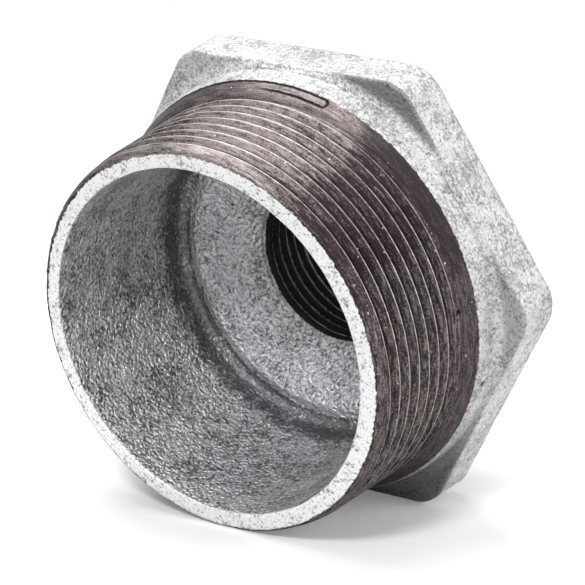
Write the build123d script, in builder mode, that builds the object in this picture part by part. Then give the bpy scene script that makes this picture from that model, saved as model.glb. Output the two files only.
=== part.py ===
"""Hexagon reducing bushing in malleable cast iron, R 2 male thread by Rp 3/4 female thread.

One casting. The pipe axis lies along Y: the female end face is at the origin, the male mouth
points to -Y, and +Z is the outward normal of one flat of the hexagon. Lengths are stacked from
the female end face. Both threads are smooth here, at their crest surfaces. Units are millimetres.
"""
import os
from math import radians, tan

from build123d import *

# Lengths along the axis, in order from the female end face
socket_length = 15.2
hex_thickness = 8.1
collar_height = 3.5
runout_length = 2.7
male_thread_length = 16.2
mouth_lead_length = 2.3

# Hexagon
across_flats = 65.9
hex_draft = 1.5
hex_corner_radius = 5.0
hex_back_chamfer = 1.2
hex_front_chamfer = 0.6

# Round collar between the hexagon and the male thread
collar_diameter = 63.5
collar_draft = 7.0
collar_flare = 1.4

# Male taper thread, at its crests
male_crest_diameter = 58.66
taper_ratio = 1 / 16
mouth_diameter = 57.3
rim_chamfer = 0.5

# Cored cavity behind the mouth
cavity_mouth_diameter = 51.6
cavity_draft = 2.2
cavity_floor_depth = 26.4
floor_groove_depth = 1.4
floor_groove_bevel = 0.9
floor_land_inset = 2.6
floor_land_radius = 1.8
floor_dish_inset = 3.2
floor_dish_depth = 1.0
floor_dish_radius = 5.0

# Female parallel thread, at its crests
female_crest_diameter = 24.117
female_inner_chamfer = 1.2
female_outer_chamfer = 1.3
female_length = 16.4

# Socket outside the hexagon
socket_wall = 4.4
band_width = 5.0
band_height = 1.3
band_chamfer = 0.9
socket_flare = 2.4

# Stations along the axis
hex_back = socket_length
hex_middle = hex_back + hex_thickness / 2
hex_front = hex_back + hex_thickness
collar_front = hex_front + collar_height
thread_start = collar_front + runout_length
thread_end = thread_start + male_thread_length
mouth = thread_end + mouth_lead_length

# Radii that follow from the sizes above
crest_radius_mouth = male_crest_diameter / 2
crest_radius_collar = crest_radius_mouth + male_thread_length * taper_ratio / 2
collar_radius = collar_diameter / 2
collar_root = collar_radius + collar_height * tan(radians(collar_draft))
female_radius = female_crest_diameter / 2
barrel_radius = female_radius + socket_wall
band_radius = barrel_radius + band_height
cavity_radius = cavity_mouth_diameter / 2
floor_land = mouth - cavity_floor_depth
floor_groove = floor_land - floor_groove_depth
groove_bevel = floor_groove + floor_groove_bevel
groove_radius = cavity_radius - (mouth - groove_bevel) * tan(radians(cavity_draft))
land_radius = groove_radius - floor_land_inset
dish_radius = land_radius - floor_dish_inset

# Sketch planes: across the axis facing the mouth, and through the axis as (station, radius)
across_axis = Plane(origin=(0, 0, 0), x_dir=(1, 0, 0), z_dir=(0, -1, 0))
along_axis = Plane(origin=(0, 0, 0), x_dir=(0, -1, 0), z_dir=(0, 0, 1))

# Collar and thread run-out, with a flared root that stays on the hexagon's front face
with BuildPart() as collar:
    with BuildSketch(along_axis):
        with BuildLine():
            Polyline(
                (hex_middle, 0),
                (hex_middle, collar_root + collar_flare),
                (hex_front, collar_root + collar_flare),
                (hex_front + collar_flare / 2, collar_root),
                (collar_front, collar_radius),
                (thread_start, crest_radius_collar),
                (thread_start, 0),
                close=True,
            )
        make_face()
    revolve(axis=Axis.Y)
    with BuildSketch(across_axis.offset(hex_back)):
        RegularPolygon(across_flats / 2 - hex_front_chamfer, 6, major_radius=False)
    extrude(amount=thread_start - hex_back, mode=Mode.INTERSECT)

with BuildPart() as bushing:
    # Hexagon, drafted towards the mouth, with its outer edges broken
    with BuildSketch(across_axis.offset(hex_back)) as hexagon:
        RegularPolygon(across_flats / 2, 6, major_radius=False)
        fillet(hexagon.vertices(), hex_corner_radius)
    extrude(amount=hex_thickness, taper=hex_draft)
    chamfer(bushing.edges().group_by(Axis.Y)[-1], hex_back_chamfer)
    chamfer(bushing.edges().group_by(Axis.Y)[0], hex_front_chamfer)
    add(collar)

    # Female socket with its end band, flared into the back of the hexagon
    with BuildSketch(along_axis):
        with BuildLine():
            Polyline(
                (0, 0),
                (0, band_radius - band_chamfer),
                (band_chamfer, band_radius),
                (band_width, band_radius),
                (band_width + band_height, barrel_radius),
                (hex_back - socket_flare, barrel_radius),
                (hex_back, barrel_radius + socket_flare),
                (hex_middle, barrel_radius + socket_flare),
                (hex_middle, 0),
                close=True,
            )
        make_face()
    revolve(axis=Axis.Y)

    # Male end: the cone of the thread crests and the lead-in cone at the mouth
    with BuildSketch(along_axis):
        with BuildLine():
            Polyline(
                (hex_back, 0),
                (hex_back, crest_radius_collar),
                (thread_start, crest_radius_collar),
                (thread_end, crest_radius_mouth),
                (mouth, mouth_diameter / 2),
                (mouth, 0),
                close=True,
            )
        make_face()
    revolve(axis=Axis.Y)

    # Cored cavity with its grooved and dished floor, and the threaded hole through the floor
    with BuildSketch(along_axis):
        with BuildLine():
            Polyline(
                (mouth, cavity_radius),
                (groove_bevel, groove_radius),
                (floor_groove, groove_radius - floor_groove_bevel),
            )
            FilletPolyline(
                (floor_groove, groove_radius - floor_groove_bevel),
                (floor_land, land_radius),
                (floor_land - floor_dish_depth, dish_radius),
                (female_length, female_radius + female_inner_chamfer),
                radius=[floor_land_radius, floor_dish_radius],
            )
            Polyline(
                (female_length, female_radius + female_inner_chamfer),
                (female_length - female_inner_chamfer, female_radius),
                (female_outer_chamfer, female_radius),
                (0, female_radius + female_outer_chamfer),
                (0, 0),
                (mouth, 0),
                (mouth, cavity_radius),
            )
        make_face()
    revolve(axis=Axis.Y, mode=Mode.SUBTRACT)
    chamfer(bushing.edges().group_by(Axis.Y)[0], rim_chamfer)

bushing.part.label = "hex_bushing"

os.makedirs("parts", exist_ok=True)
export_step(bushing.part, "parts/hex_bushing.step")
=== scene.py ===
"""Galvanised hexagon reducing bushing: the dressed casting and its studio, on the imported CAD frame.

Lengths in this file are millimetres unless a name says otherwise. A station is the distance
from the female end face towards the mouth, so world Y is minus the station. A turn is the angle
round the pipe axis from +X towards +Z, in radians. A Span holds the two values between which
something rises from 0 to 1, so its second value may be the lower one.
"""
import logging
import math
from dataclasses import dataclass, field
from enum import Enum
from typing import Any, Iterable, Sequence

import bmesh
import bpy
from mathutils import Matrix, Vector, noise


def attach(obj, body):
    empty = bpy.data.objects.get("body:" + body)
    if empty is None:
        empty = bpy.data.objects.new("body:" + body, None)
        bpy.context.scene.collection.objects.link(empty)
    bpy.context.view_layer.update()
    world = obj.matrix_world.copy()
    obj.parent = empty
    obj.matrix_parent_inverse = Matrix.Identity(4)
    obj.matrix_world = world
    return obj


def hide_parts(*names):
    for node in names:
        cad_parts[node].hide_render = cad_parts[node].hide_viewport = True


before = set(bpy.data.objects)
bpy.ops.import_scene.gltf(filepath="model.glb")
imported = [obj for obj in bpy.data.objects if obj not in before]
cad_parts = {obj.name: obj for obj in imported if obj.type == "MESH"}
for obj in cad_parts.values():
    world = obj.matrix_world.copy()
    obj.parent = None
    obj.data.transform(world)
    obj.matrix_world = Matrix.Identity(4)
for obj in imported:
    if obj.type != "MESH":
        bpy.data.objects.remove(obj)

LOG = logging.getLogger("bushing")
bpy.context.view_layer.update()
Point = tuple[float, float]
Span = tuple[float, float]
Triple = tuple[float, float, float]
Colour = tuple[float, float, float, float]

MM = 0.001
FULL_TURN = 2 * math.pi
BOTTOM = -math.pi / 2
MERGE_GAP = 1e-3
NO_THREAD = 0.5

# Half a pitch of each thread from crest to root, as (share of the pitch, height)
COARSE = ((0.0, 1.0), (0.06, 0.97), (0.125, 0.84), (0.375, 0.16), (0.44, 0.03), (0.5, 0.0))
FINE = ((0.0, 1.0), (0.1, 0.9), (0.375, 0.16), (0.45, 0.02), (0.5, 0.0))


class Surface(Enum):
    """What a shell's surface is; the value is what its vertices carry."""

    CUT = 0.0
    SKIN = 1.0


def at(station: float, radius: float, turn: float = 0.0) -> Vector:
    """Gives the point at a station, a radius and a turn."""
    return Vector((radius * math.cos(turn), -station, radius * math.sin(turn)))


def radius_of(point: Vector) -> float:
    """Gives a point's distance from the pipe axis."""
    return math.hypot(point.x, point.z)


def ease(low: float, high: float, value: float) -> float:
    """Rises smoothly from 0 at low to 1 at high."""
    t = min(max((value - low) / (high - low), 0.0), 1.0)
    return t * t * (3 - 2 * t)


class Loom:
    """A bmesh in which one shell is made, or the shells of the casting are joined."""

    SECTORS = 12

    def __init__(self) -> None:
        """Starts an empty mesh with its two vertex attributes."""
        self.bm = bmesh.new()
        self.cast = self.bm.verts.layers.float.new("cast")
        self.crest = self.bm.verts.layers.float.new("crest")

    def everything(self) -> list[Any]:
        """Lists every vertex, edge and face."""
        return [*self.bm.verts, *self.bm.edges, *self.bm.faces]

    def chain(self, points: Sequence[Point], longest: float) -> list[Any]:
        """Draws a profile from a few corners and divides its long edges.

        Args:
            points: Corners as (station, radius).
            longest: Length above which an edge is divided.

        Returns:
            The profile's vertices and edges.
        """
        verts = [self.bm.verts.new(at(s, r)) for s, r in points]
        edges = [self.bm.edges.new(pair) for pair in zip(verts, verts[1:])]
        for edge in edges:
            cuts = math.ceil(edge.calc_length() / longest - 0.01) - 1
            if cuts > 0:
                bmesh.ops.subdivide_edges(self.bm, edges=[edge], cuts=cuts)
        return self.everything()

    def sweep(self, geom: list[Any], steps: int, rise: float = 0.0) -> None:
        """Spins a profile a full turn: first through one sector, then as copies of it.

        Args:
            geom: The profile's vertices and edges.
            steps: Faces in a full turn.
            rise: How far the profile moves along the stations in a full turn.
        """
        bm, sectors = self.bm, self.SECTORS
        about = {"cent": (0, 0, 0), "axis": (0, -1, 0), "use_merge": False}
        bmesh.ops.spin(
            bm, geom=geom, angle=FULL_TURN / sectors, steps=steps // sectors,
            dvec=(0, -rise / steps, 0), use_duplicate=False, **about,
        )
        bmesh.ops.spin(
            bm, geom=self.everything(), angle=FULL_TURN * (sectors - 1) / sectors,
            steps=sectors - 1, dvec=(0, -rise / sectors, 0), use_duplicate=True, **about,
        )
        bmesh.ops.remove_doubles(bm, verts=bm.verts, dist=MERGE_GAP)

    def mark(self, verts: Iterable[Any], surface: Surface) -> None:
        """Marks vertices as skin or cut surface, at no height in a thread.

        Args:
            verts: The vertices to mark.
            surface: What they are on.
        """
        for v in verts:
            v[self.cast] = surface.value
            v[self.crest] = NO_THREAD

    def even_ends(self, steps: int) -> None:
        """Merges the odd vertices that trimming left in the open ends into their neighbours.

        Args:
            steps: Faces in a full turn.
        """
        target = {}
        for v in self.bm.verts:
            place = (math.atan2(v.co.z, v.co.x) - BOTTOM) / FULL_TURN * steps
            if abs(place - round(place)) > 0.001:
                ends = [e.other_vert(v) for e in v.link_edges if e.is_boundary]
                target[v] = min(ends, key=lambda end: (end.co - v.co).length)
        bmesh.ops.weld_verts(self.bm, targetmap=target)

    def absorb(self, other: "Loom") -> None:
        """Takes another loom's shell into this one.

        Args:
            other: The loom to take in, which is freed.
        """
        mesh = bpy.data.meshes.new("shell")
        other.bm.to_mesh(mesh)
        other.bm.free()
        self.bm.from_mesh(mesh)
        bpy.data.meshes.remove(mesh)

    @classmethod
    def turned(
        cls, points: Sequence[Point], longest: float, steps: int, surface: Surface
    ) -> "Loom":
        """Turns a profile into a ring of faces.

        Args:
            points: Corners as (station, radius).
            longest: Longest edge along the profile.
            steps: Faces in a full turn.
            surface: What the ring is.

        Returns:
            A loom with the shell.
        """
        shell = cls()
        shell.sweep(shell.chain(points, longest), steps)
        shell.mark(shell.bm.verts, surface)
        return shell

    def open_loops(self) -> list[list[Any]]:
        """Finds every closed loop of boundary edges.

        Returns:
            The loops, each a list of edges.
        """
        left = {e: True for e in self.bm.edges if len(e.link_faces) < 2}
        loops: list[list[Any]] = []
        while left:
            queue, loop = [left.popitem()[0]], []
            while queue:
                edge = queue.pop()
                loop.append(edge)
                for v in edge.verts:
                    queue += [e for e in v.link_edges if left.pop(e, False)]
            loops.append(loop)
        return loops

    def loop_near(self, station: float, radius: float) -> list[Any]:
        """Picks the open loop whose middle is nearest to a station and a mean radius.

        Args:
            station: Wanted station.
            radius: Wanted mean radius.

        Returns:
            The loop's edges.
        """
        wanted = Vector((station, radius))

        def gap(loop: list[Any]) -> float:
            """Measures how far a loop is from the wanted place."""
            places = [Vector((-v.co.y, radius_of(v.co))) for e in loop for v in e.verts]
            return (sum(places, Vector((0, 0))) / len(places) - wanted).length

        return min(self.open_loops(), key=gap)

    def bridge(self, first: Point, second: Point, rings: int = 0) -> list[Any]:
        """Joins two open loops with skin, and divides the band between them.

        Args:
            first: Station and mean radius of one loop.
            second: Station and mean radius of the other.
            rings: New rings of vertices between them.

        Returns:
            The new vertices.
        """
        edges = self.loop_near(*first) + self.loop_near(*second)
        made = bmesh.ops.bridge_loops(self.bm, edges=edges)
        if not rings:
            return []
        cut = bmesh.ops.subdivide_edges(
            self.bm, edges=made["edges"], cuts=rings, use_grid_fill=True
        )
        verts = [g for g in cut["geom_inner"] if isinstance(g, bmesh.types.BMVert)]
        self.mark(verts, Surface.SKIN)
        return verts


@dataclass(frozen=True)
class ThreadForm:
    """A right-hand pipe thread of 55 degree form; shape is half a pitch from crest to root."""

    pitch: float
    depth: float
    crest_station: float
    shape: tuple[Point, ...]
    blank_radius: float = 20.0

    def rows(self, low: float, high: float) -> list[Point]:
        """Lists the profile's rows at the bottom turn.

        Args:
            low: Lowest station wanted.
            high: Highest station wanted.

        Returns:
            Rows as (station, crest height from 0 to 1).
        """
        shape = [*self.shape, *((1 - s, h) for s, h in reversed(self.shape[1:-1]))]
        start = self.crest_station + self.pitch * BOTTOM / FULL_TURN
        first = math.floor((low - self.pitch - start) / self.pitch)
        last = math.ceil((high - start) / self.pitch)
        return [(start + self.pitch * (k + s), h) for k in range(first, last) for s, h in shape]

    def cut(self, low: float, high: float, steps: int) -> Loom:
        """Spins the thread's profile along its helix and trims it square at both ends.

        Args:
            low: Lowest station kept.
            high: Highest station kept.
            steps: Faces in a full turn.

        Returns:
            A loom with the shell, on a plain blank until it is placed.
        """
        shell = Loom()
        bm = shell.bm
        rows = self.rows(low, high)
        verts = [bm.verts.new(at(s, self.blank_radius, BOTTOM)) for s, _ in rows]
        for v, (_, height) in zip(verts, rows):
            v[shell.crest] = height
        edges = [bm.edges.new(pair) for pair in zip(verts, verts[1:])]
        shell.sweep(verts + edges, steps, self.pitch)
        for station, side in ((low, {"clear_inner": True}), (high, {"clear_outer": True})):
            bmesh.ops.bisect_plane(
                bm, geom=shell.everything(), dist=MERGE_GAP,
                plane_co=(0, -station, 0), plane_no=(0, -1, 0), **side,
            )
        shell.even_ends(steps)
        return shell


@dataclass
class Hexagon:
    """The hexagon, its flat back and its front face round the collar."""

    back: float = 15.2
    thickness: float = 8.1
    across_flats: float = 65.9
    draft_degrees: float = 1.5
    corner_radius: float = 5.0
    back_round: float = 1.3
    front_round: float = 0.55
    collar_root: float = 32.1
    collar_flare: float = 1.5
    back_arc: tuple[float, ...] = (0, 22, 45, 68, 90)
    front_arc: tuple[float, ...] = (0, 30, 60, 90)
    corner_steps: int = 14
    flat_steps: int = 46
    side_rings: int = 9
    face_rings: int = 9
    outline_excess: float = 1.6
    back_ring: float = 1.0
    back_lift: float = 1.0
    back_steps: int = 360

    @property
    def front(self) -> float:
        """Station of the front face."""
        return self.back + self.thickness

    def half(self, station: float) -> float:
        """Gives half the distance across flats at a station, with the draft."""
        drafted = (station - self.back) * math.tan(math.radians(self.draft_degrees))
        return self.across_flats / 2 - drafted

    def sections(self) -> list[Point]:
        """Lists the hexagon's rings from the back face to the front.

        Returns:
            Rings as (station, half across flats).
        """
        back, front = self.back_round, self.front_round
        rings = [
            (self.back + back * (1 - math.cos(a)), self.half(self.back) - back * (1 - math.sin(a)))
            for a in map(math.radians, self.back_arc)
        ]
        low, high = self.back + back, self.front - front
        sides = (low + (high - low) * k / self.side_rings for k in range(1, self.side_rings))
        rings += [(s, self.half(s)) for s in sides]
        rings += [
            (high + front * math.sin(a), self.half(high) - front * (1 - math.cos(a)))
            for a in map(math.radians, self.front_arc)
        ]
        return rings

    def build(self) -> Loom:
        """Makes the drafted hexagon as rings extruded from one rounded outline.

        Returns:
            A loom with the hexagon's sides, open at the back and the front.
        """
        shell = Loom()
        bm = shell.bm
        rings = self.sections()
        upright = Matrix.Rotation(math.pi / 2, 4, "X") @ Matrix.Rotation(math.pi / 6, 4, "Z")
        circle = bmesh.ops.create_circle(
            bm, segments=6, radius=rings[0][1] / math.cos(math.pi / 6),
            matrix=Matrix.Translation((0, -rings[0][0], 0)) @ upright,
        )
        bmesh.ops.bevel(
            bm, geom=circle["verts"], affect="VERTICES", segments=self.corner_steps,
            offset=self.corner_radius * math.tan(math.pi / 6), profile=0.5, material=-1,
        )
        longest = max(e.calc_length() for e in bm.edges)
        flats = [e for e in bm.edges if e.calc_length() > longest / 2]
        bmesh.ops.subdivide_edges(bm, edges=flats, cuts=self.flat_steps - 1)
        ring = list(bm.edges)
        for (s0, h0), (s1, h1) in zip(rings, rings[1:]):
            grown = bmesh.ops.extrude_edge_only(bm, edges=ring)["geom"]
            ring = [g for g in grown if isinstance(g, bmesh.types.BMEdge)]
            verts = [g for g in grown if isinstance(g, bmesh.types.BMVert)]
            bmesh.ops.scale(bm, verts=verts, vec=(h1 / h0, 1, h1 / h0))
            bmesh.ops.translate(bm, verts=verts, vec=(0, s0 - s1, 0))
        shell.mark(bm.verts, Surface.SKIN)
        return shell

    def loop_of(self, ring: Point) -> Point:
        """Gives the station and mean radius of one of the hexagon's rings."""
        return ring[0], ring[1] + self.outline_excess

    def join_front(self, loom: Loom, collar: Point) -> None:
        """Closes the front face up to the collar, with a flared foot round it.

        Args:
            loom: Mesh to work in.
            collar: Station and radius of the collar's foot.
        """
        new = loom.bridge(self.loop_of(self.sections()[-1]), collar, rings=self.face_rings)
        for v in new:
            rise = ease(self.collar_root + self.collar_flare, self.collar_root, radius_of(v.co))
            v.co.y = -(self.front + (collar[0] - self.front) * rise)

    def join_back(self, loom: Loom, middle: float) -> None:
        """Closes the flat back down to a ring, drawn proud at first so that the loops pair up.

        Args:
            loom: Mesh to work in.
            middle: Outer radius of the ring.
        """
        proud = self.back - self.back_lift
        inner = middle - self.back_ring
        ring = [(proud, middle), (proud, inner)]
        loom.absorb(Loom.turned(ring, 2 * self.back_ring, self.back_steps, Surface.SKIN))
        loom.bridge(self.loop_of(self.sections()[0]), ring[0], rings=self.face_rings)
        for v in loom.bm.verts:
            if -v.co.y < self.back and radius_of(v.co) > inner - self.back_ring / 2:
                v.co.y = -self.back


@dataclass
class Socket:
    """The female socket behind the hexagon, with its banded end."""

    length: float = 15.2
    barrel_radius: float = 16.46
    back_radius: float = 24.0
    band_radius: float = 17.76
    band_width: float = 5.0
    band_slope: float = 1.3
    end_round: float = 0.9
    end_bulge: float = 0.3
    flare: float = 2.4
    flare_arc: tuple[float, ...] = (15, 45, 75)
    bore_radius: float = 13.36
    longest: float = 1.1
    steps: int = 180

    def build(self) -> Loom:
        """Turns the outside of the socket and its end face.

        Returns:
            A loom with the shell.
        """
        length, barrel, flare = self.length, self.barrel_radius, self.flare
        bulge = self.end_round * self.end_bulge
        points = [(length, self.back_radius), (length, barrel + flare)]
        points += [
            (length - flare * (1 - math.cos(a)), barrel + flare * (1 - math.sin(a)))
            for a in map(math.radians, self.flare_arc)
        ]
        points += [
            (length - flare, barrel),
            (self.band_width + self.band_slope, barrel),
            (self.band_width, self.band_radius),
            (self.end_round, self.band_radius),
            (bulge, self.band_radius - bulge),
            (0.0, self.band_radius - self.end_round),
            (0.0, self.bore_radius),
        ]
        return Loom.turned(points, self.longest, self.steps, Surface.SKIN)


@dataclass
class MaleEnd:
    """The collar, the run-out, the male taper thread, and the plain lead-in at the mouth."""

    thread: ThreadForm = ThreadForm(2.309, 1.3, 45.69, COARSE)
    collar_foot: Point = (24.0, 32.1)
    collar_front: Point = (26.8, 31.75)
    collar_edge: float = 0.4
    collar_bulge: float = 0.05
    collar_drop: float = 0.12
    thread_start: Point = (29.5, 29.84)
    thread_end: Point = (45.7, 29.33)
    mouth: Point = (48.0, 28.64)
    cut_from: float = 28.2
    cut_to: float = 47.5
    fade_in: Span = (28.5, 29.7)
    fade_out: Span = (46.3, 47.1)
    tail_turns: Span = (0.0, 0.22)
    ridge_turns: Span = (0.04, 0.16)
    ridge_lag: float = 0.01
    longest: float = 0.7
    steps: int = 360

    def surface(self, station: float) -> float:
        """Gives the radius of the run-out cone, the crests' cone or the lead-in.

        Args:
            station: Where to read it.

        Returns:
            The radius at the station.
        """
        stops = [self.collar_front, self.thread_start, self.thread_end, self.mouth]
        for (s0, r0), (s1, r1) in zip(stops, stops[1:]):
            if station <= s1:
                return r0 + (r1 - r0) * (station - s0) / (s1 - s0)
        return self.mouth[1]

    def build(self, loom: Loom) -> None:
        """Turns the collar, and cuts the thread in front of it.

        Args:
            loom: Mesh to work in.
        """
        station, radius = self.collar_front
        collar = [
            self.collar_foot,
            (station - self.collar_edge, radius + self.collar_bulge),
            (station, radius - self.collar_drop),
            (self.cut_from, self.surface(self.cut_from)),
        ]
        loom.absorb(Loom.turned(collar, self.longest, self.steps, Surface.CUT))
        shell = self.thread.cut(self.cut_from, self.cut_to, self.steps)
        for v in shell.bm.verts:
            self.place(shell, v)
        loom.absorb(shell)

    def place(self, loom: Loom, v: Any) -> None:
        """Puts a vertex of the thread at its depth, faded at both ends.

        Args:
            loom: Mesh that holds the vertex.
            v: The vertex.
        """
        station = -v.co.y
        turn = (math.atan2(v.co.z, v.co.x) - BOTTOM) % FULL_TURN + BOTTOM
        ahead = (station - self.thread.crest_station) / self.thread.pitch - turn / FULL_TURN
        keep = 1 - ease(*self.tail_turns, ahead)
        keep *= 1 - ease(*self.fade_out, station)
        keep *= ease(*self.fade_in, station)
        height = v[loom.crest]
        radius = self.surface(station) - self.thread.depth * (1 - height) * keep
        v.co = at(station, radius, turn)
        first = 1 - ease(*self.ridge_turns, abs(ahead + self.ridge_lag))
        v[loom.crest] = max(NO_THREAD + (height - NO_THREAD) * keep, first)
        v[loom.cast] = Surface.CUT.value


@dataclass
class MouthCavity:
    """The rim, the cored cavity and its floor; the core sat a little off centre."""

    rim: tuple[Point, ...] = (
        (47.5, 28.79), (47.72, 28.66), (47.9, 28.5), (48.0, 28.2), (48.0, 26.22), (47.95, 26.04),
        (47.75, 25.92), (47.0, 25.8),
    )
    wall: tuple[Point, ...] = ((22.4, 24.84), (21.6, 24.72), (21.0, 24.42), (20.62, 23.95))
    groove: tuple[Point, ...] = ((20.5, 23.4), (20.56, 22.9), (20.76, 22.4), (21.0, 21.9))
    land: tuple[Point, ...] = ((21.1, 21.4), (21.02, 20.9), (20.7, 20.2), (20.3, 19.4))
    dish: tuple[Point, ...] = (
        (20.05, 18.6), (19.8, 17.8), (19.4, 17.0), (18.8, 16.2), (17.6, 14.7),
    )
    core_shift: Triple = (-0.24, 0.0, -0.10)
    shift_from: Span = (16.5, 20.5)
    shift_to: Span = (26.3, 28.1)
    longest: float = 0.75
    steps: int = 360

    def build(self) -> Loom:
        """Turns the rim, the cavity wall, the groove, the land and the dished floor.

        Returns:
            A loom with the shell.
        """
        points = self.rim + self.wall + self.groove + self.land + self.dish
        shell = Loom.turned(points, self.longest, self.steps, Surface.SKIN)
        for v in shell.bm.verts:
            radius = radius_of(v.co)
            weight = (1 - ease(*self.shift_to, radius)) * ease(*self.shift_from, radius)
            v.co += Vector(self.core_shift) * weight
        return shell


@dataclass
class FemaleThread:
    """The parallel female thread and its two countersinks."""

    thread: ThreadForm = ThreadForm(1.814, 1.1, 14.28, FINE)
    crest_radius: float = 12.06
    outer: Point = (0.0, 13.36)
    inner: Point = (16.4, 13.3)
    edge_gap: float = 0.02
    steps: int = 180

    def build(self) -> Loom:
        """Cuts the thread and runs it out into the countersinks.

        Returns:
            A loom with the shell.
        """
        shell = self.thread.cut(self.outer[0], self.inner[0], self.steps)
        for v in shell.bm.verts:
            station = -v.co.y
            turn = math.atan2(v.co.z, v.co.x)
            height = v[shell.crest]
            radius = self.crest_radius + self.thread.depth * (1 - height)
            opened = max(radius, self.outer[1] - station, self.inner[1] - (self.inner[0] - station))
            v.co = at(station, opened, turn)
            v[shell.crest] = NO_THREAD if opened > radius + self.edge_gap else height
            v[shell.cast] = Surface.CUT.value
        return shell


@dataclass
class CastSkin:
    """Lumps and dimples of the cast surface, as moves of its vertices."""

    coarse: float = 0.16
    coarse_size: float = 3.1
    coarse_seed: Triple = (11, 3, 5)
    fine: float = 0.07
    fine_size: float = 1.15
    fine_seed: Triple = (2, 17, 9)

    def depth(self, point: Vector) -> float:
        """Gives how far the skin lies below its envelope at a point.

        Args:
            point: A point on the envelope.

        Returns:
            The depth, from two sizes of noise.
        """
        big = noise.noise(point / self.coarse_size + Vector(self.coarse_seed))
        small = noise.noise(point / self.fine_size + Vector(self.fine_seed))
        return self.coarse * (0.5 + 0.5 * big) + self.fine * (0.5 + 0.5 * small)

    def rough(self, loom: Loom) -> None:
        """Moves the skin's vertices inwards along their normals.

        Args:
            loom: Mesh to work in.
        """
        for v in loom.bm.verts:
            v.normal_update()
        skin = [v for v in loom.bm.verts if v[loom.cast] > 0.001]
        moves = [v.normal * (-self.depth(v.co) * v[loom.cast]) for v in skin]
        for v, move in zip(skin, moves):
            v.co += move


@dataclass
class Casting:
    """The whole bushing: one closed mesh that stands for the CAD solid."""

    name: str = "galvanised_bushing"
    hexagon: Hexagon = field(default_factory=Hexagon)
    socket: Socket = field(default_factory=Socket)
    male: MaleEnd = field(default_factory=MaleEnd)
    cavity: MouthCavity = field(default_factory=MouthCavity)
    female: FemaleThread = field(default_factory=FemaleThread)
    skin: CastSkin = field(default_factory=CastSkin)
    back_middle: float = 26.0
    seam_gap: float = 2e-2

    def join(self) -> Loom:
        """Makes every shell and joins it to its neighbours.

        Returns:
            A loom with one closed shell.
        """
        loom = Loom()
        loom.absorb(self.hexagon.build())
        self.male.build(loom)
        self.hexagon.join_front(loom, self.male.collar_foot)
        for part in (self.cavity, self.socket, self.female):
            loom.absorb(part.build())
        self.hexagon.join_back(loom, self.back_middle)
        back = self.hexagon.back
        ring = self.back_middle - self.hexagon.back_ring
        loom.bridge((back, ring), (back, self.socket.back_radius))
        loom.bridge(self.female.inner, self.cavity.dish[-1])
        bmesh.ops.remove_doubles(loom.bm, verts=loom.bm.verts, dist=self.seam_gap)
        LOG.info("open loops left: %d", len(loom.open_loops()))
        bmesh.ops.recalc_face_normals(loom.bm, faces=loom.bm.faces)
        return loom

    def build(self) -> Any:
        """Makes the casting's object.

        Returns:
            The object, in metres at the origin.
        """
        loom = self.join()
        self.skin.rough(loom)
        bm = loom.bm
        triangles = sum(len(f.verts) - 2 for f in bm.faces)
        LOG.info("volume %.1f mm3, triangles %d", bm.calc_volume(), triangles)
        bmesh.ops.scale(bm, verts=bm.verts, vec=(MM, MM, MM))
        for face in bm.faces:
            face.smooth = True
        mesh = bpy.data.meshes.new(self.name)
        bm.to_mesh(mesh)
        bm.free()
        piece = bpy.data.objects.new(self.name, mesh)
        bpy.context.collection.objects.link(piece)
        return piece

    @staticmethod
    def dress(piece: Any, finish: "GalvanisedFinish") -> None:
        """Gives the casting its finish."""
        piece.data.materials.append(finish.build())


class Channel:
    """A shader socket on which Python arithmetic adds Math nodes."""

    def __init__(self, graph: "Graph", socket: Any) -> None:
        """Wraps an output socket."""
        self.graph = graph
        self.socket = socket

    def __add__(self, other: Any) -> "Channel":
        """Adds."""
        return self.graph.math("ADD", self, other)

    __radd__ = __add__

    def __mul__(self, other: Any) -> "Channel":
        """Multiplies."""
        return self.graph.math("MULTIPLY", self, other)

    __rmul__ = __mul__

    def __sub__(self, other: Any) -> "Channel":
        """Subtracts."""
        return self.graph.math("SUBTRACT", self, other)

    def __rsub__(self, other: Any) -> "Channel":
        """Subtracts from a number."""
        return self.graph.math("SUBTRACT", other, self)

    def __neg__(self) -> "Channel":
        """Changes the sign."""
        return self.graph.math("MULTIPLY", self, -1.0)


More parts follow.
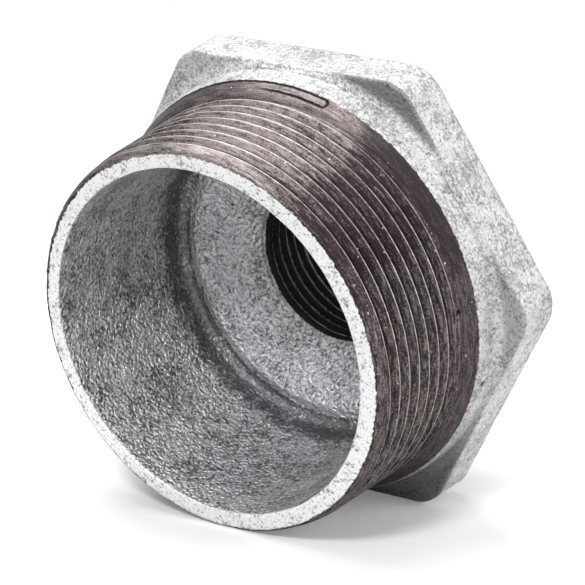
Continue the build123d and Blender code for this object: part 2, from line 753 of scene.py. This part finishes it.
class Graph:
    """The node tree of one material or world."""

    def __init__(self, owner: Any) -> None:
        """Empties the node tree.

        Args:
            owner: A new material or world.
        """
        self.owner = owner
        owner.use_nodes = True
        self.tree = owner.node_tree
        self.tree.nodes.clear()

    @staticmethod
    def find(sockets: Any, key: Any) -> Any:
        """Finds a socket.

        Args:
            sockets: A node's inputs or outputs.
            key: Its index, identifier or name.

        Returns:
            The socket.
        """
        if isinstance(key, int):
            return sockets[key]
        for socket in sockets:
            if key == socket.identifier and socket.enabled:
                return socket
        return next(s for s in sockets if s.name == key and s.enabled)

    def node(
        self, kind: str, settings: dict[str, Any] | None = None,
        inputs: dict[Any, Any] | None = None, output: Any = 0,
    ) -> Channel:
        """Adds a node, sets it up, then fills its sockets.

        Args:
            kind: Node type, without its ShaderNode prefix.
            settings: Properties of the node.
            inputs: Values or channels for its inputs, by name, identifier or index.
            output: Which output to give back.

        Returns:
            The chosen output.
        """
        made = self.tree.nodes.new("ShaderNode" + kind)
        for name, value in (settings or {}).items():
            setattr(made, name, value)
        for key, value in (inputs or {}).items():
            socket = self.find(made.inputs, key)
            if isinstance(value, Channel):
                self.tree.links.new(value.socket, socket)
            else:
                socket.default_value = value
        return Channel(self, self.find(made.outputs, output) if made.outputs else None)

    def math(self, operation: str, *values: Any) -> Channel:
        """Adds a Math node."""
        return self.node("Math", {"operation": operation}, dict(enumerate(values)))

    def step(self, value: Channel, low: float, high: float) -> Channel:
        """Maps a value from 0 at low to 1 at high, smoothly."""
        return self.node(
            "MapRange", {"interpolation_type": "SMOOTHSTEP"},
            {"Value": value, "From Min": low, "From Max": high, "To Min": 0.0, "To Max": 1.0},
        )

    def noise(
        self, vector: Channel, scale: float, detail: float = 2.0, roughness: float = 0.5
    ) -> Channel:
        """Adds a noise texture, about 0.5 on average."""
        return self.node(
            "TexNoise", {"noise_dimensions": "3D"},
            {"Vector": vector, "Scale": scale, "Detail": detail, "Roughness": roughness},
        )

    def vector(self, x: Any = 0.0, y: Any = 0.0, z: Any = 0.0) -> Channel:
        """Combines three values."""
        return self.node("CombineXYZ", inputs={"X": x, "Y": y, "Z": z})

    def blend(self, factor: Any, first: Any, second: Any) -> Channel:
        """Mixes two colours."""
        return self.node(
            "Mix", {"data_type": "RGBA"},
            {"Factor_Float": factor, "A_Color": first, "B_Color": second}, "Result_Color",
        )

    def most(self, first: Any, second: Any) -> Channel:
        """Gives the greater of two values."""
        return self.math("MAXIMUM", first, second)

    @staticmethod
    def pick(factor: Channel, first: Channel, second: Channel) -> Channel:
        """Mixes two values."""
        return first + (second - first) * factor


@dataclass(frozen=True)
class Coat:
    """What one finish gives to the shader."""

    colour: Channel
    roughness: Channel
    metallic: Channel
    height: Channel


@dataclass(frozen=True)
class Place:
    """Where a shaded point is on the casting, in millimetres."""

    point: Channel
    station: Channel
    radius: Channel
    turn: Channel

    @staticmethod
    def read(g: Graph) -> "Place":
        """Reads the place from object coordinates.

        Args:
            g: Graph to work in.

        Returns:
            The place; unlike the mesh's, its turn is zero on top and grows towards +X.
        """
        metres = g.node("TexCoord", output="Object")
        point = g.node("VectorMath", {"operation": "SCALE"}, {0: metres, "Scale": 1 / MM})
        x, y, z = (g.node("SeparateXYZ", inputs={0: point}, output=axis) for axis in "XYZ")
        return Place(point, -y, g.math("SQRT", x * x + z * z), g.math("ARCTAN2", x, z))

    def unrolled(self, g: Graph, scale: Triple) -> Channel:
        """Gives a texture's vector, scaled along the axis, round it and outwards."""
        along, around, out = scale
        return g.vector(self.station * along, self.turn * around, self.radius * out)


@dataclass(frozen=True)
class ZincSkin:
    """Hot-dip zinc on the cast skin: mottled, pebbled and specked with dark, with painted shade on
    the hexagon's front face and painted light and shade in the cavity.
    """

    light: Colour = (0.67, 0.67, 0.67, 1)
    mid: Colour = (0.30, 0.302, 0.30, 1)
    dark: Colour = (0.05, 0.05, 0.052, 1)
    # Colour of the painted shade on the hexagon's front face.
    face_shade: Colour = (0.17, 0.18, 0.187, 1)
    core: Colour = (0.80, 0.80, 0.825, 1)
    hollow: Colour = (0.15, 0.15, 0.158, 1)
    rim: Colour = (0.92, 0.92, 0.93, 1)
    cloud_scale: float = 0.16
    patch_scale: float = 0.6
    grain_scale: float = 2.2
    speck_scale: float = 2.3
    mottle: Span = (0.42, 0.55)
    core_mottle: Span = (0.38, 0.54)
    rim_mottle: Span = (0.37, 0.48)
    specks: Span = (0.57, 0.63)
    core_back: Span = (16.2, 16.6)
    core_front: Span = (47.72, 47.6)
    core_wall: Span = (26.6, 26.4)
    rim_face: Span = (47.55, 47.7)
    groove_wall: Span = (22.9, 23.7)
    groove_reach: Span = (26.0, 22.0)
    floor_edge: Span = (23.3, 22.9)
    floor_reach: Span = (21.6, 21.4)
    land_edge: Span = (20.7, 21.5)
    front_face: Span = (22.6, 22.9)
    face_reach: Span = (24.3, 23.9)
    corner_edge: Span = (32.8, 34.0)
    right_side: Span = (-0.15, 0.15)
    lower_right: Span = (0.95, 1.35)
    underside: Span = (1.9, 2.4)
    left_side: Span = (-0.9, -1.3)
    # Where the painted shade under the collar reaches, by station and radius.
    under_shade_reach: Span = (28.0, 24.5)
    under_shade_edge: Span = (30.0, 31.5)

    def coat(self, g: Graph, here: Place) -> Coat:
        """Builds the zinc's channels.

        Args:
            g: Graph to work in.
            here: Place of the shaded point.

        Returns:
            The zinc's coat.
        """
        clouds = g.noise(here.point, self.cloud_scale, 3.0, 0.6)
        patches = g.noise(here.point, self.patch_scale, 4.0, 0.65)
        grains = g.noise(here.point, self.grain_scale, 3.0, 0.7)
        deep = g.step(here.station, *self.core_back) * g.step(here.station, *self.core_front)
        inside = g.step(here.radius, *self.core_wall) * deep
        groove = g.step(here.radius, *self.groove_wall) * inside
        groove = groove * g.step(here.station, *self.groove_reach)
        floor = g.step(here.radius, *self.floor_edge) * g.step(here.station, *self.floor_reach)
        land = g.step(here.radius, *self.land_edge) * floor
        tone = clouds * 0.2 + patches * 0.3 + grains * 0.5
        colour = g.blend(g.step(tone, *self.mottle), self.mid, self.light)
        # Painted shade on the hexagon's front face, in its corners and underneath.
        colour = g.blend(self.front_face_shade(g, here, patches), colour, self.face_shade)
        # The cavity floor and land are painted lighter, as painted light with a painted highlight on
        # the land's rounded edge, and the groove darker, as painted shade.
        spread = clouds * 0.2 + patches * 0.25 + grains * 0.55 - 0.02
        spread = spread + floor * 0.02 + land * 0.04 - groove * 0.11
        core = g.blend(g.step(spread, *self.core_mottle), self.hollow, self.core)
        colour = g.blend(inside, colour, core)
        rim = g.step(patches * 0.5 + grains * 0.5, *self.rim_mottle)
        colour = g.blend(rim * g.step(here.station, *self.rim_face), colour, self.rim)
        specks = g.step(g.noise(here.point, self.speck_scale, 4.0, 0.8), *self.specks)
        colour = g.blend(specks * (0.85 - 0.5 * inside), colour, self.dark)
        rough = self.pebble(g, here) * 0.30 + grains * 0.30 - 0.345
        height = rough * (0.5 + 0.75 * inside - 0.7 * groove) + patches * 0.12
        roughness = 0.46 - 0.2 * inside + 0.12 * patches
        metallic = 0.40 + 0.5 * inside
        return Coat(colour, roughness, metallic, height)

    @staticmethod
    def pebble(g: Graph, here: Place) -> Channel:
        """Gives rounded grains about 0.8 mm across.

        Args:
            g: Graph to work in.
            here: Place of the shaded point.

        Returns:
            The grains' height, from 0 to 1.
        """
        warp = g.noise(here.point, 0.9, 2.0, 0.5)
        bend = g.vector(warp * 1.6, warp * -1.2, warp * 1.4)
        bent = g.node("VectorMath", {"operation": "ADD"}, {0: here.point, 1: bend})
        cells = g.node(
            "TexVoronoi", {"feature": "SMOOTH_F1"},
            {"Vector": bent, "Scale": 1.7, "Smoothness": 0.5}, "Distance",
        )
        return 1.0 - cells

    def front_face_shade(self, g: Graph, here: Place, patches: Channel) -> Channel:
        """Gives the painted shade on the hexagon's front face: in its corners, most of all on the
        right, and underneath.

        Args:
            g: Graph to work in.
            here: Place of the shaded point.
            patches: Noise that makes the edges uneven.

        Returns:
            The share of painted shade, from 0 to 1.
        """
        in_front = g.step(here.station, *self.front_face)
        face = in_front * g.step(here.station, *self.face_reach)
        out = g.step(here.radius + (patches - 0.5) * 3.0, *self.corner_edge)
        right = g.step(here.turn, *self.right_side)
        right = right * (1.0 - g.step(here.turn, *self.lower_right) * 0.6)
        left = g.step(here.turn, *self.left_side) * 0.4
        # Painted shade on the low front face, under the collar and thread.
        under = g.step(here.turn, *self.underside) * g.step(here.station, *self.under_shade_reach)
        under_shade = under * g.step(here.radius, *self.under_shade_edge) * 0.85
        return g.most(face * out * (0.12 + 0.70 * right + left), under_shade * in_front)


@dataclass(frozen=True)
class CutIron:
    """Bare iron as the threading tool left it: dark flanks and bright worn crests, with painted light
    on top of the male thread and painted shade in its roots and in the bore.
    """

    flank: Colour = (0.028, 0.019, 0.021, 1)
    # Colour of the tool marks on the run-out under the painted light.
    wear_and_light: Colour = (0.13, 0.10, 0.105, 1)
    pale: Colour = (0.34, 0.30, 0.292, 1)
    shade: Colour = (0.036, 0.028, 0.030, 1)
    bright: Colour = (0.72, 0.66, 0.64, 1)
    # Near black: painted shade in the thread roots and the bore, and the colour of the tool-exit line
    # and the flaws.
    black: Colour = (0.012, 0.009, 0.01, 1)
    streak_scale: Triple = (3.2, 12.0, 3.0)
    mark_scale: Triple = (6.0, 2.5, 0.0)
    grain_scale: float = 3.2
    bead_scale: float = 1.1
    glint_scale: float = 1.7
    streaks_and_light: Span = (0.49, 0.80)
    marks: Span = (0.42, 0.62)
    beads: Span = (0.44, 0.60)
    glints: Span = (0.76, 0.78)
    # Crest heights over which the painted shade in the roots sets in.
    root_height: Span = (0.42, 0.14)
    crest_height: Span = (0.968, 1.0)
    runout: Span = (29.4, 28.9)
    male: Span = (20.0, 24.0)
    # Radii inside which the female thread gets painted shade.
    bore: Span = (20.0, 19.0)
    # Turns over which the painted light on the male thread rises and falls.
    top_left: Span = (-0.75, -0.05)
    top_right: Span = (0.82, 0.10)
    left_low: Span = (-1.4, -0.9)
    left_high: Span = (0.3, -0.3)
    right_side: Span = (0.95, 1.35)
    underside: Span = (-1.2, -2.0)
    exit_radius: float = 31.0
    exit_arc: float = 8.9
    exit_station: float = 27.62
    exit_half_width: float = 0.55
    exit_line: Span = (0.22, 0.06)
    exit_back: Span = (0.1, -0.1)
    exit_closed: Span = (-4.5, 1.0)
    exit_left: Span = (-42.0, -30.0)

    def coat(self, g: Graph, here: Place, crest: Channel) -> Coat:
        """Builds the cut iron's channels.

        Args:
            g: Graph to work in.
            here: Place of the shaded point.
            crest: Height in the thread, from 0 in the root to 1 on the crest.

        Returns:
            The iron's coat.
        """
        streak = g.noise(here.unrolled(g, self.streak_scale), 1.0, 3.0, 0.7)
        grain = g.noise(here.point, self.grain_scale, 3.0, 0.75)
        marks = g.noise(here.unrolled(g, self.mark_scale), 1.0, 2.0, 0.6)
        runout = g.step(here.station, *self.runout)
        male = g.step(here.radius, *self.male)
        # Painted light on top of the male thread, together with its oil film rubbed off.
        lit_top_and_rubbed_film = self.lit_top_and_rubbed_film(g, here)
        # Pale streaks of wear, lighter still under the painted light.
        streaks_and_light = g.step(streak * 0.55 + grain * 0.45 + lit_top_and_rubbed_film * 0.19, *self.streaks_and_light)
        # Painted shade in the roots of the male thread.
        root = g.step(crest, *self.root_height) * male
        colour = g.blend(streaks_and_light, self.flank, self.pale)
        colour = g.blend(root * 0.85, colour, self.black)
        # Painted shade, with the run-out's dark oil film, on the run-out away from the painted light
        # on top.
        runout_shade = runout * (1.0 - lit_top_and_rubbed_film) * (0.35 + 0.6 * streak)
        colour = g.blend(runout_shade, colour, self.shade)
        # Tool marks on the run-out, pale only under the painted light.
        colour = g.blend(runout * g.step(marks, *self.marks) * lit_top_and_rubbed_film * 0.7, colour, self.wear_and_light)
        beads = g.step(g.noise(here.point, self.bead_scale, 5.0, 0.8), *self.beads)
        # Worn bright crests, brighter under the painted light on top; the glints are painted
        # highlights.
        top = g.step(crest, *self.crest_height) * (0.30 + 0.3 * lit_top_and_rubbed_film + 0.45 * beads)
        glints = g.step(g.noise(here.point, self.glint_scale, 1.0, 0.5), *self.glints)
        top = g.most(top, glints * male * 0.7)
        colour = g.blend(top, colour, self.bright)
        line = self.tool_exit(g, here)
        # Painted shade over the female thread inside the bore, leaving its crests bright.
        bore = g.step(here.radius, *self.bore) * (1.0 - top) * 0.8
        colour = g.blend(g.most(line, bore), colour, self.black)
        roughness = 0.38 + 0.16 * grain - 0.1 * top
        metallic = 0.88 + 0.05 * top
        height = streak * 0.06 + grain * 0.08 + marks * runout * 0.08 - line * 0.3
        return Coat(colour, roughness, metallic, height)

    def lit_top_and_rubbed_film(self, g: Graph, here: Place) -> Channel:
        """Gives the painted light on the male thread, most of all on top, together with the dark oil
        film rubbed off there.

        Args:
            g: Graph to work in.
            here: Place of the shaded point.

        Returns:
            The share of painted light and rubbed-off film, from 0 to 1.
        """
        turn = here.turn + (g.noise(here.point, 0.10, 2.0, 0.5) - 0.5) * 0.8
        top = g.step(turn, *self.top_left) * g.step(turn, *self.top_right)
        left = g.step(turn, *self.left_low) * g.step(turn, *self.left_high)
        right = g.step(turn, *self.right_side)
        under = g.step(turn, *self.underside)
        # Painted light: full on top, weaker on the left, the right and underneath.
        wear_and_light = g.most(top, left * 0.35) + right * 0.4 + under * 0.3
        return wear_and_light * g.step(here.radius, *self.male)

    def tool_exit(self, g: Graph, here: Place) -> Channel:
        """Gives the dark groove where the threading tool left the run-out, with a rounded end.

        Args:
            g: Graph to work in.
            here: Place of the shaded point.

        Returns:
            1 in the groove and 0 beside it.
        """
        arc = here.turn * self.exit_radius
        past = g.most(arc - self.exit_arc, 0.0)
        across = here.station - self.exit_station
        rugged = (g.noise(here.point, 1.6, 3.0, 0.6) - 0.5) * 0.35
        away = g.math("SQRT", past * past + across * across) - self.exit_half_width
        line = g.step(g.math("ABSOLUTE", away + rugged), *self.exit_line)
        drawn = g.most(g.step(across, *self.exit_back), g.step(arc, *self.exit_closed))
        return line * drawn * g.step(arc, *self.exit_left)


@dataclass(frozen=True)
class Flaws:
    """Blowholes and nicks, each a centre on the surface and a radius."""

    holes: tuple[tuple[Triple, float], ...] = (
        ((30.4, -25.2, -9.8), 0.52), ((29.3, -37.3, -1.0), 0.62), ((29.9, -29.2, 2.6), 0.42),
        ((-21.0, -19.0, 25.5), 0.5), ((-12.0, -15.2, 22.0), 0.55), ((9.5, -2.5, -15.0), 0.45),
    )
    full_share: float = 0.55
    unevenness: float = 0.8

    def mask(self, g: Graph, here: Place) -> Channel:
        """Finds the flaws.

        Args:
            g: Graph to work in.
            here: Place of the shaded point.

        Returns:
            1 in the flaws and 0 round them.
        """
        bent = (g.noise(here.point, 1.8, 2.0, 0.5) - 0.5) * self.unevenness
        total: Any = 0.0
        for centre, radius in self.holes:
            ends = {0: here.point, 1: centre}
            away = g.node("VectorMath", {"operation": "DISTANCE"}, ends, "Value")
            total = g.most(total, g.step(away + bent, radius, radius * self.full_share))
        return total


@dataclass(frozen=True)
class GalvanisedFinish:
    """The casting's one finish: zinc skin where it is cast, bare iron where it is cut."""

    zinc: ZincSkin = ZincSkin()
    iron: CutIron = CutIron()
    flaws: Flaws = Flaws()
    shine: float = 0.35
    outside: Span = (27.0, 27.3)
    collar: Span = (26.8, 26.95)
    rim_edge: Point = (47.75, 28.45)
    rim_cut: Span = (0.45, 0.35)
    rim_lean: float = 0.3
    rim_lean_turn: float = 0.7
    bore: Span = (12.95, 12.8)
    bore_end: Span = (17.3, 17.0)

    def build(self) -> Any:
        """Makes the material.

        Returns:
            The material.
        """
        g = Graph(bpy.data.materials.new("galvanised_casting"))
        here = Place.read(g)
        crest = g.node("Attribute", {"attribute_name": "crest"}, output="Fac")
        zinc = self.zinc.coat(g, here)
        iron = self.iron.coat(g, here, crest)
        cut = self.cut_mask(g, here)
        flaws = self.flaws.mask(g, here)
        height = g.pick(cut, zinc.height, iron.height) - flaws * 0.3
        bump = g.node("Bump", inputs={"Strength": 1.0, "Distance": MM, "Height": height})
        colour = g.blend(cut, zinc.colour, iron.colour)
        shader = g.node("BsdfPrincipled", inputs={
            "Base Color": g.blend(flaws * 0.95, colour, self.iron.black),
            "Roughness": g.pick(cut, zinc.roughness, iron.roughness),
            "Metallic": g.pick(cut, zinc.metallic, iron.metallic),
            "Normal": bump,
            "Specular IOR Level": self.shine,
        })
        g.node("OutputMaterial", inputs={"Surface": shader})
        return g.owner

    def cut_mask(self, g: Graph, here: Place) -> Channel:
        """Finds the two threads and the run-out, which have a ragged edge.

        Args:
            g: Graph to work in.
            here: Place of the shaded point.

        Returns:
            1 on them and 0 on the skin.
        """
        ragged = g.noise(here.point, 1.5, 3.0, 0.65) - 0.5
        male = g.step(here.radius, *self.outside)
        male = male * g.step(here.station + ragged * 0.5, *self.collar)
        station, radius = self.rim_edge
        lean = g.math("COSINE", here.turn + self.rim_lean_turn) * self.rim_lean
        rim = (here.station - station) * 1.5 + (radius - lean - here.radius) * 1.2
        male = male * g.step(rim + ragged * 1.3, *self.rim_cut)
        female = g.step(here.radius + ragged * 0.4, *self.bore)
        return g.most(male, female * g.step(here.station, *self.bore_end))


@dataclass(frozen=True)
class Lamp:
    """One rectangular lamp: its place in the room and size in metres, and its power in watts."""

    name: str
    place: Triple
    width: float
    height: float
    power: float

    def hang(self, room: Matrix, aim: Vector) -> None:
        """Hangs the lamp so that it looks at the casting.

        Args:
            room: Transform from the room to the casting's frame.
            aim: Point that it looks at, in the casting's frame.
        """
        data = bpy.data.lights.new(self.name, "AREA")
        data.shape = "RECTANGLE"
        data.size, data.size_y = self.width, self.height
        data.energy = self.power
        lamp = bpy.data.objects.new(self.name, data)
        where = room @ Vector(self.place)
        turn = (where - aim).to_track_quat("Z", "Y").to_matrix().to_4x4()
        lamp.matrix_world = Matrix.Translation(where) @ turn
        lamp.visible_camera = False
        bpy.context.collection.objects.link(lamp)


@dataclass
class Studio:
    """A pale floor, soft lamps, a white surround and the camera.

    The eye, the clips, the aim and the floor's sizes are in metres. The two edges that touch the
    floor and the gap under them are in millimetres, as are the focal length and the sensor.
    """

    eye: Triple = (0.28838, -0.40421, 0.20494)
    right: Triple = (0.8133, 0.5755, -0.0853)
    up: Triple = (-0.1665, 0.3707, 0.9137)
    focal: float = 221.96
    sensor: float = 36.0
    near_clip: float = 0.01
    far_clip: float = 10.0
    hexagon_edge: Point = (22.9, 32.76)
    rim_edge: Point = (47.9, 28.66)
    floor_gap: float = 0.02
    floor_centre: Triple = (0.0, -0.01, 0.0)
    floor_radius: float = 0.16
    floor_sides: int = 96
    floor_colour: Colour = (0.93, 0.925, 0.92, 1)
    floor_fade: Span = (0.09, 0.15)
    floor_glow: float = 0.16
    surround_light: float = 0.32
    aim: Triple = (0.0, -0.01, 0.03)
    lamps: tuple[Lamp, ...] = (
        Lamp("overhead", (-0.16, 0.06, 0.60), 0.45, 0.45, 3.1),
        Lamp("right_side", (0.60, 0.20, 0.30), 0.35, 0.45, 1.9),
        Lamp("front", (0.16, -0.62, 0.60), 0.16, 0.16, 3.9),
    )

    def build(self) -> None:
        """Sets up everything that isn't the object."""
        bpy.context.scene.view_settings.view_transform = "Standard"
        self.camera()
        self.floor()
        self.surround()
        room = self.to_room()
        for lamp in self.lamps:
            lamp.hang(room, room @ Vector(self.aim))

    def camera(self) -> None:
        """Places the camera."""
        data = bpy.data.cameras.new("camera")
        data.sensor_fit = "HORIZONTAL"
        data.sensor_width = self.sensor
        data.lens = self.focal
        data.clip_start, data.clip_end = self.near_clip, self.far_clip
        camera = bpy.data.objects.new("camera", data)
        right = Vector(self.right).normalized()
        up = Vector(self.up)
        up = (up - right * up.dot(right)).normalized()
        rotation = Matrix((right, up, right.cross(up))).transposed().to_4x4()
        camera.matrix_world = Matrix.Translation(self.eye) @ rotation
        bpy.context.collection.objects.link(camera)
        bpy.context.scene.camera = camera

    def slope(self) -> float:
        """Gives the floor's slope against the pipe axis, in radians."""
        (s0, r0), (s1, r1) = self.hexagon_edge, self.rim_edge
        return math.atan2(r0 - r1, s1 - s0)

    def to_room(self) -> Matrix:
        """Gives the transform from a room with a level floor to the casting's frame.

        Returns:
            The transform, in metres.
        """
        station, radius = self.hexagon_edge
        origin = Vector((0, -station * MM, -(radius + self.floor_gap) * MM))
        return Matrix.Translation(origin) @ Matrix.Rotation(-self.slope(), 4, "X")

    def floor(self) -> None:
        """Lays a pale round floor that the bushing rests on."""
        bm = bmesh.new()
        bmesh.ops.create_circle(
            bm, cap_ends=True, segments=self.floor_sides, radius=self.floor_radius
        )
        place = self.to_room() @ Matrix.Translation(self.floor_centre)
        bmesh.ops.transform(bm, matrix=place, verts=bm.verts)
        mesh = bpy.data.meshes.new("floor")
        bm.to_mesh(mesh)
        bm.free()
        floor = bpy.data.objects.new("floor", mesh)
        bpy.context.collection.objects.link(floor)
        mesh.materials.append(self.floor_finish())

    def floor_finish(self) -> Any:
        """Makes a white matt finish that fades out at the floor's edge and is clear from below.

        Returns:
            The material.
        """
        g = Graph(bpy.data.materials.new("pale_floor"))
        metres = g.node("TexCoord", output="Object")
        away = g.node("VectorMath", {"operation": "LENGTH"}, {0: metres}, "Value")
        below = g.node("NewGeometry", output="Backfacing")
        unseen = g.most(g.step(away, *self.floor_fade), below)
        matt = g.node("BsdfDiffuse", inputs={"Color": self.floor_colour})
        seen = g.node("LightPath", output="Is Camera Ray")
        glow = g.node("Emission", inputs={"Strength": seen * self.floor_glow})
        lit = g.node("AddShader", inputs={0: matt, 1: glow})
        clear = g.node("BsdfTransparent")
        shader = g.node("MixShader", inputs={0: unseen, 1: lit, 2: clear})
        g.node("OutputMaterial", inputs={"Surface": shader})
        return g.owner

    def surround(self) -> None:
        """Makes the surround white to the eye and in reflections, and softer as light."""
        world = bpy.data.worlds.new("surround")
        bpy.context.scene.world = world
        g = Graph(world)
        seen = g.node("LightPath", output="Is Camera Ray")
        mirrored = g.node("LightPath", output="Is Glossy Ray")
        strength = g.most(g.most(seen, mirrored), self.surround_light)
        back = g.node("Background", inputs={"Color": (1, 1, 1, 1), "Strength": strength})
        g.node("OutputWorld", inputs={"Surface": back})


def main() -> None:
    """Builds the casting, dresses it, sets the studio up and notes the sizes."""
    casting = Casting()
    piece = casting.build()
    casting.dress(piece, GalvanisedFinish())
    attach(piece, "root")
    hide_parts("hex_bushing")
    LOG.info("casting: %d vertices", len(piece.data.vertices))
    Studio().build()
    LOG.info("studio: camera, floor and lamps")


if __name__ == "__main__":
    logging.basicConfig(level=logging.INFO, format="%(name)s: %(message)s")
    main()
